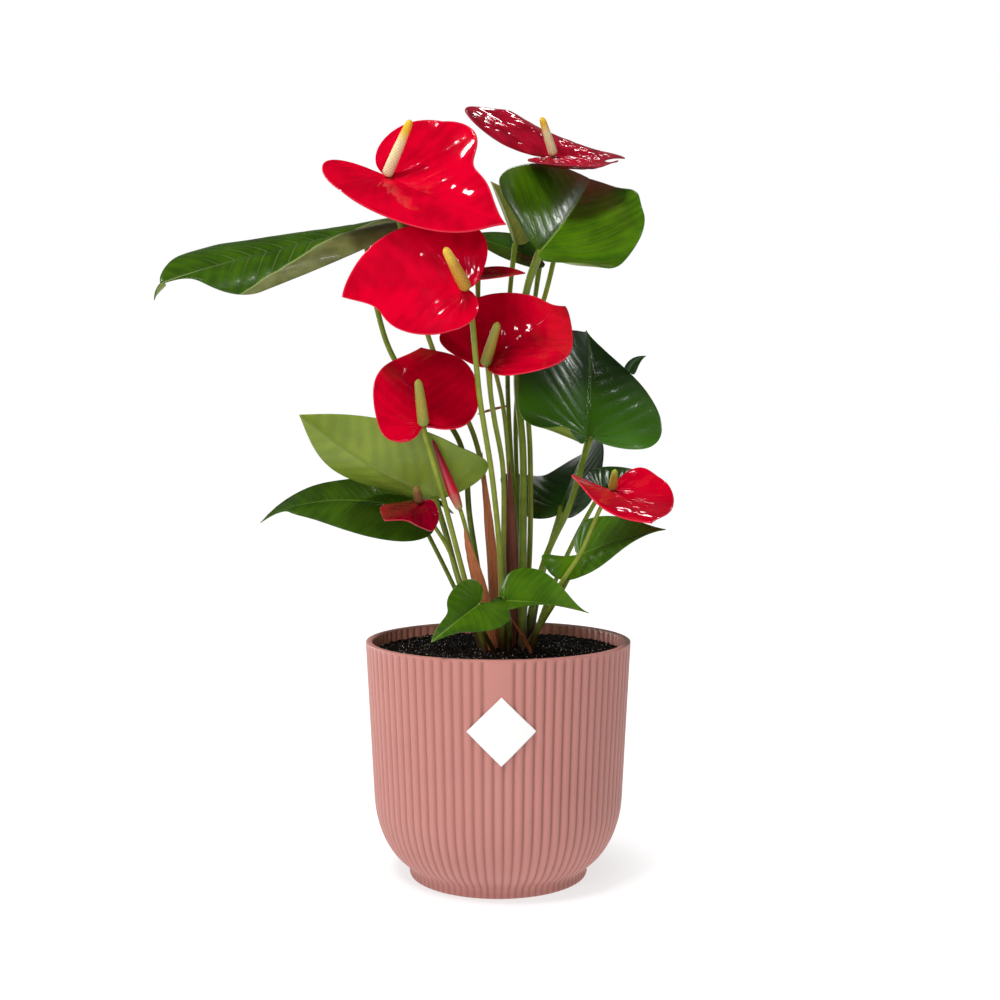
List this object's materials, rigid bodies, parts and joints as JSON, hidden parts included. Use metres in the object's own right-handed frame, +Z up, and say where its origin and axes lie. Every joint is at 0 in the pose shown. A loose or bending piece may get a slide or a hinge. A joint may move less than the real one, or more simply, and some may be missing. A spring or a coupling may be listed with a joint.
{
  "type": "potted anthurium",
  "caption": "Flowering anthurium in a ribbed round cover pot: glossy heart-shaped spathes with upright spadices and broad leaves on thin stalks rising from dark soil.",
  "frame": {"origin": "middle of the pot's flat underside", "axes": "+Z up along the pot's axis, -Y towards the front, where the label and most spathes face, +X to the right of it"},
  "size_m": [0.2593, 0.174, 0.418],
  "materials": {
    "pot": "matt dusty pink moulded plastic",
    "soil": "damp crumbly potting soil",
    "label": "blank white paper sticker",
    "peduncle": "smooth green stalk",
    "leaf": "waxy green leaf",
    "dark_leaf": "waxy dark green leaf",
    "pale_leaf": "dull pale underside of a leaf",
    "young_leaf": "soft olive young leaf",
    "spathe": "glossy waxy red spathe",
    "dark_spathe": "glossy dark red spathe",
    "cream_spadix": "finely beaded cream spadix",
    "gold_spadix": "finely beaded golden spadix",
    "green_spadix": "finely beaded olive spadix",
    "sheath": "dry papery brown sheath",
    "dark_sheath": "dry papery dark brown sheath"
  },
  "bodies": {
    "root": {"pot": "pot", "soil": "soil", "label": "label", "flower_high_left_peduncle": "peduncle", "flower_high_left_spathe": "spathe", "flower_high_left_spadix": "cream_spadix", "flower_large_peduncle": "peduncle", "flower_large_spathe": "spathe", "flower_large_spadix": "gold_spadix", "flower_middle_peduncle": "peduncle", "flower_middle_spathe": "spathe", "flower_middle_spadix": "green_spadix", "flower_front_peduncle": "peduncle", "flower_front_spathe": "spathe", "flower_front_spadix": "green_spadix", "flower_right_peduncle": "peduncle", "flower_right_spathe": "spathe", "flower_right_spadix": "cream_spadix", "flower_high_right_peduncle": "peduncle", "flower_high_right_spathe": "spathe", "flower_high_right_spadix": "cream_spadix", "flower_low_left_peduncle": "peduncle", "flower_low_left_spathe": "dark_spathe", "flower_low_left_spadix": "gold_spadix", "flower_behind_peduncle": "peduncle", "flower_behind_spathe": "spathe", "flower_behind_spadix": "gold_spadix", "bud_peduncle": "peduncle", "bud": "spathe", "leaf_long_left": "leaf", "leaf_high_right": "leaf", "leaf_young": "young_leaf", "leaf_behind": "dark_leaf", "leaf_right": "dark_leaf", "leaf_pale_left": "pale_leaf", "leaf_low_left": "leaf", "leaf_back_right": "dark_leaf", "leaf_low_right": "leaf", "leaf_behind_flower": "dark_leaf", "leaf_rim_left": "leaf", "leaf_rim_right": "leaf", "sheath_left": "sheath", "sheath_middle": "sheath", "sheath_right": "dark_sheath", "sheath_low": "sheath", "bract_dry": "sheath"}
  },
  "joints": []
}
